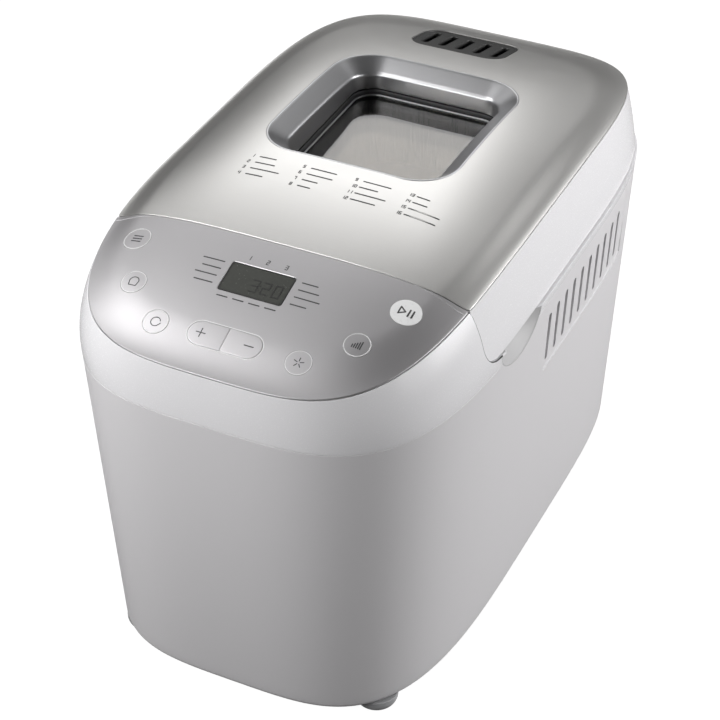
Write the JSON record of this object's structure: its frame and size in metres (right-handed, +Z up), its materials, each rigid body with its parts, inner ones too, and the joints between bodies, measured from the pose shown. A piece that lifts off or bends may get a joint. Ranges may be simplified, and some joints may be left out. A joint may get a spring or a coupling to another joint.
{
  "type": "bread machine",
  "caption": "Household bread machine with a hinged domed metal lid and viewing window, sloping push-button control panel, removable non-stick pan and motor-driven kneading paddles.",
  "frame": {"origin": "on the table under the middle of the machine", "axes": "+Z up, +Y towards the hinged back, +X to the right of someone facing the control panel"},
  "size_m": [0.2644, 0.4332, 0.3054],
  "materials": {
    "brushed_top": "brushed",
    "satin_silver": "satin metallic",
    "gloss_white": "gloss",
    "satin_white": "satin",
    "grey_rubber": "matte",
    "dark_grille": "satin",
    "lcd_grey": "gloss",
    "button_silver": "satin",
    "start_white": "satin",
    "window_glass": "clear",
    "black_seal": "matte",
    "silicone_seal": "matte",
    "sheet_steel": "brushed",
    "pan_coating": "non-stick satin",
    "machined_steel": "machined",
    "heater_sheath": "oxidised",
    "black_plastic": "satin",
    "belt_rubber": "matte",
    "circuit_board": "satin"
  },
  "bodies": {
    "base": {"body_shell": "satin_white", "collar_frame": "gloss_white", "base_plate": "black_plastic", "power_board": "circuit_board", "control_board": "circuit_board", "cable_inlet": "black_plastic", "hinge_pin_left": "machined_steel", "hinge_pin_right": "machined_steel", "control_fascia": "satin_silver", "lcd_lens": "lcd_grey", "lcd_module": "black_plastic", "chamber_rim": "sheet_steel", "baking_chamber": "sheet_steel", "heating_element": "heater_sheath", "temperature_sensor": "machined_steel", "pan_seat": "sheet_steel", "bread_pan": "pan_coating", "drive_belt": "belt_rubber", "timing_belt": "belt_rubber", "motor_body": "machined_steel", "motor_bracket": "sheet_steel", "shaft_bearing_1": "black_plastic", "shaft_bearing_2": "black_plastic", "foot_1": "grey_rubber", "base_screw_1": "machined_steel", "foot_2": "grey_rubber", "base_screw_2": "machined_steel", "foot_3": "grey_rubber", "base_screw_3": "machined_steel", "foot_4": "grey_rubber", "base_screw_4": "machined_steel"},
    "lid": {"lid_frame": "gloss_white", "lid_skin": "brushed_top", "window_bezel": "satin_silver", "window_gasket": "black_seal", "outer_glass": "window_glass", "inner_glass": "window_glass", "lid_liner": "sheet_steel", "lid_seal": "silicone_seal", "steam_grille": "dark_grille"},
    "pan_handle": {"pan_handle": "machined_steel"},
    "drive_1": {"drive_shaft_1": "machined_steel", "pan_shaft_1": "machined_steel", "kneading_paddle_1": "pan_coating", "timing_pulley_1": "black_plastic", "drive_pulley": "black_plastic"},
    "drive_2": {"drive_shaft_2": "machined_steel", "pan_shaft_2": "machined_steel", "kneading_paddle_2": "pan_coating", "timing_pulley_2": "black_plastic"},
    "motor_rotor": {"motor_rotor": "machined_steel"},
    "menu_button": {"menu_button": "button_silver"},
    "loaf_size_button": {"loaf_size_button": "button_silver"},
    "dough_button": {"dough_button": "button_silver"},
    "custom_button": {"custom_button": "button_silver"},
    "crust_button": {"crust_button": "button_silver"},
    "start_button": {"start_button": "start_white"},
    "plus_button": {"plus_button": "button_silver"},
    "minus_button": {"minus_button": "button_silver"}
  },
  "joints": [
    {"name": "lid_hinge", "type": "hinge", "parent": "base", "child": "lid", "pos_m": [0, 0.2105, 0.239], "axis": [-1, 0, 0], "range_deg": [0, 95]},
    {"name": "pan_handle_hinge", "type": "hinge", "parent": "base", "child": "pan_handle", "pos_m": [0, 0.048, 0.191], "axis": [0, -1, 0], "range_deg": [0, 180]},
    {"name": "drive_1_spin", "type": "hinge", "parent": "base", "child": "drive_1", "pos_m": [0, -0.002, 0.05], "axis": [0, 0, 1], "continuous": true},
    {"name": "drive_2_spin", "type": "hinge", "parent": "base", "child": "drive_2", "pos_m": [0, 0.098, 0.05], "axis": [0, 0, 1], "continuous": true},
    {"name": "motor_spin", "type": "hinge", "parent": "base", "child": "motor_rotor", "pos_m": [0, -0.152, 0.05], "axis": [0, 0, 1], "continuous": true},
    {"name": "menu_button_press", "type": "slide", "parent": "base", "child": "menu_button", "axis": [0.17, 0.2072, -0.9634], "range_m": [0, 0.0008], "stiffness_N_per_m": 500, "springref_m": -0.0003},
    {"name": "loaf_size_button_press", "type": "slide", "parent": "base", "child": "loaf_size_button", "axis": [0.0828, 0.3124, -0.9463], "range_m": [0, 0.0008], "stiffness_N_per_m": 500, "springref_m": -0.0003},
    {"name": "dough_button_press", "type": "slide", "parent": "base", "child": "dough_button", "axis": [0.0244, 0.4077, -0.9128], "range_m": [0, 0.0008], "stiffness_N_per_m": 500, "springref_m": -0.0003},
    {"name": "custom_button_press", "type": "slide", "parent": "base", "child": "custom_button", "axis": [-0.0244, 0.4077, -0.9128], "range_m": [0, 0.0008], "stiffness_N_per_m": 500, "springref_m": -0.0003},
    {"name": "crust_button_press", "type": "slide", "parent": "base", "child": "crust_button", "axis": [-0.0828, 0.3124, -0.9463], "range_m": [0, 0.0008], "stiffness_N_per_m": 500, "springref_m": -0.0003},
    {"name": "start_button_press", "type": "slide", "parent": "base", "child": "start_button", "axis": [-0.17, 0.2072, -0.9634], "range_m": [0, 0.0008], "stiffness_N_per_m": 500, "springref_m": -0.0003},
    {"name": "plus_button_press", "type": "slide", "parent": "base", "child": "plus_button", "axis": [0, 0.4026, -0.9154], "range_m": [0, 0.0008], "stiffness_N_per_m": 500, "springref_m": -0.0003},
    {"name": "minus_button_press", "type": "slide", "parent": "base", "child": "minus_button", "axis": [0, 0.4026, -0.9154], "range_m": [0, 0.0008], "stiffness_N_per_m": 500, "springref_m": -0.0003}
  ],
  "couplings": [
    {"joint": "drive_2_spin", "follows": "drive_1_spin", "ratio": 1},
    {"joint": "motor_spin", "follows": "drive_1_spin", "ratio": 7}
  ]
}
